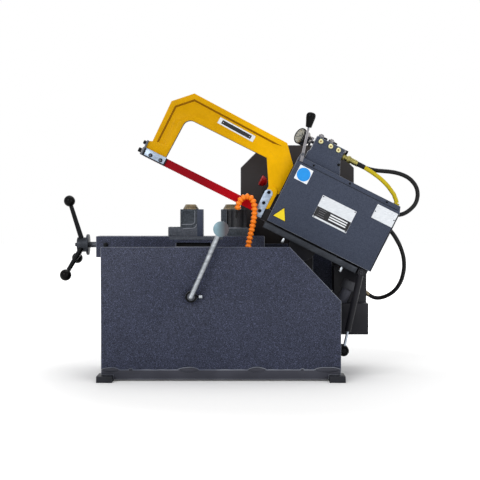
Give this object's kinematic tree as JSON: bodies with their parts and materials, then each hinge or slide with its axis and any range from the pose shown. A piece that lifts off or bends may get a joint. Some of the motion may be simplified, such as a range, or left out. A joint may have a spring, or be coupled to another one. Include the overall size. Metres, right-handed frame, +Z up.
{
  "type": "power hacksaw",
  "caption": "Hydraulic power hacksaw: tilting bow and blade on a swinging arm, screw vice, length stop, coolant hose and lift cylinder on a sheet steel base.",
  "frame": {"origin": "on the floor, at the centre of the four anchor holes in the foot pads", "axes": "+X along the vice towards the arm pivot, +Y away from the operator, +Z up"},
  "size_m": [1.35, 0.545, 1.0558],
  "materials": {
    "textured_paint": "hammered",
    "arm_paint": "fine texture",
    "black_paint": "satin",
    "painted_iron": "painted casting",
    "yellow_paint": "gloss",
    "blade_paint": "satin",
    "ground_steel": "ground",
    "dark_steel": "oiled",
    "black_oxide": "black oxide",
    "zinc_steel": "zinc plated",
    "zinc_yellow": "yellow zinc",
    "bright_brass": "machined",
    "gauge_steel": "polished",
    "black_plastic": "gloss",
    "switch_plastic": "matt",
    "red_plastic": "gloss",
    "orange_plastic": "satin",
    "black_rubber": "smooth",
    "yellow_rubber": "smooth",
    "motor_paint": "satin",
    "pump_iron": "cast"
  },
  "bodies": {
    "base": {"base_cabinet": "textured_paint", "base_frame": "black_paint", "foot_pads": "black_paint", "pivot_pedestals": "black_paint", "pivot_bushes": "bright_brass", "vice_bed": "painted_iron", "fixed_jaw": "painted_iron", "fixed_jaw_plate": "painted_iron", "fixed_jaw_cap": "zinc_yellow", "control_cabinet": "black_paint", "oil_tank": "black_paint", "filler_neck": "black_paint", "tank_fitting": "zinc_yellow", "pump_motor": "motor_paint", "hydraulic_pump": "pump_iron", "lift_lug": "black_paint", "stop_guide": "black_paint", "coolant_valve": "bright_brass", "coolant_hose": "orange_plastic", "coolant_nozzle": "black_plastic", "return_hose": "black_rubber"},
    "arm": {"arm_casting": "painted_iron", "arm_cover": "arm_paint", "slide_rail": "dark_steel", "upper_gib": "dark_steel", "gib_screws": "zinc_steel", "pivot_shaft": "ground_steel", "drive_cylinder": "black_paint", "valve_block": "arm_paint", "valve_plugs": "bright_brass", "pressure_gauge": "gauge_steel", "lever_bracket": "black_paint", "hose_fittings": "bright_brass", "pressure_hose": "yellow_rubber", "feed_hose": "black_rubber", "stop_switch_box": "switch_plastic"},
    "saw_bow": {"bow": "yellow_paint", "ram": "dark_steel", "drive_piston": "ground_steel", "saw_blade": "blade_paint", "front_holder": "ground_steel", "rear_clamp": "ground_steel", "clamp_screws": "black_oxide"},
    "jaw": {"moving_jaw": "painted_iron", "moving_jaw_plate": "painted_iron", "moving_jaw_cap": "zinc_yellow", "vice_nut": "dark_steel"},
    "screw": {"vice_screw": "dark_steel", "vice_handle": "black_oxide", "handle_balls": "black_plastic"},
    "stop_carrier": {"stop_sleeve": "ground_steel"},
    "stop": {"stop_arm": "ground_steel"},
    "lock_screw": {"stop_lock_screw": "black_oxide"},
    "lever": {"valve_lever": "ground_steel", "lever_knob": "black_plastic"},
    "button": {"stop_button": "red_plastic"},
    "lift_tube": {"lift_barrel": "black_paint"},
    "lift_ram": {"lift_rod": "ground_steel"},
    "cap": {"filler_cap": "black_plastic"}
  },
  "joints": [
    {"name": "arm_swing", "type": "hinge", "parent": "base", "child": "arm", "pos_m": [0.307, 0, 0.48], "axis": [0, -1, 0], "range_deg": [0, 27], "deforming": ["return_hose"]},
    {"name": "bow_stroke", "type": "slide", "parent": "arm", "child": "saw_bow", "axis": [-0.8942, 0, 0.4478], "range_m": [0, 0.085]},
    {"name": "screw_turn", "type": "hinge", "parent": "base", "child": "screw", "pos_m": [-0.478, 0.0535, 0.487], "axis": [1, 0, 0], "range_deg": [-7800, 3960]},
    {"name": "jaw_slide", "type": "slide", "parent": "base", "child": "jaw", "axis": [1, 0, 0], "range_m": [-0.1301, 0.0661]},
    {"name": "stop_slide", "type": "slide", "parent": "base", "child": "stop_carrier", "axis": [0, -1, 0], "range_m": [0, 0.06]},
    {"name": "stop_swing", "type": "hinge", "parent": "stop_carrier", "child": "stop", "pos_m": [-0.108, -0.2, 0.307], "axis": [0, 1, 0], "range_deg": [-150, 110]},
    {"name": "lock_screw_turn", "type": "hinge", "parent": "base", "child": "lock_screw", "pos_m": [-0.08, -0.21, 0.307], "axis": [1, 0, 0], "range_deg": [-360, 0]},
    {"name": "lever_tilt", "type": "hinge", "parent": "arm", "child": "lever", "pos_m": [0.3014, -0.077, 0.82615], "axis": [0, 1, 0], "range_deg": [-20, 20]},
    {"name": "button_press", "type": "slide", "parent": "arm", "child": "button", "axis": [0.8942, 0, -0.4478], "range_m": [0, 0.006], "stiffness_N_per_m": 400, "springref_m": -0.003},
    {"name": "lift_pivot", "type": "hinge", "parent": "arm", "child": "lift_tube", "pos_m": [0.52071, -0.062, 0.3864], "axis": [0, 1, 0], "range_deg": [-0.5, 26.9]},
    {"name": "lift_stroke", "type": "slide", "parent": "lift_tube", "child": "lift_ram", "axis": [-0.2154, 0, -0.9765], "range_m": [-0.0005, 0.1095]},
    {"name": "filler_cap_turn", "type": "hinge", "parent": "base", "child": "cap", "pos_m": [0.4907, 0.066, 0.32997], "axis": [0.4226, 0, 0.9063], "range_deg": [0, 270]}
  ],
  "couplings": [
    {"joint": "jaw_slide", "follows": "screw_turn", "m_per_rad": 0.00095493},
    {"joint": "lift_pivot", "follows": "arm_swing", "ratio": 0.97747},
    {"joint": "lift_stroke", "follows": "arm_swing", "m_per_rad": 0.23102}
  ]
}
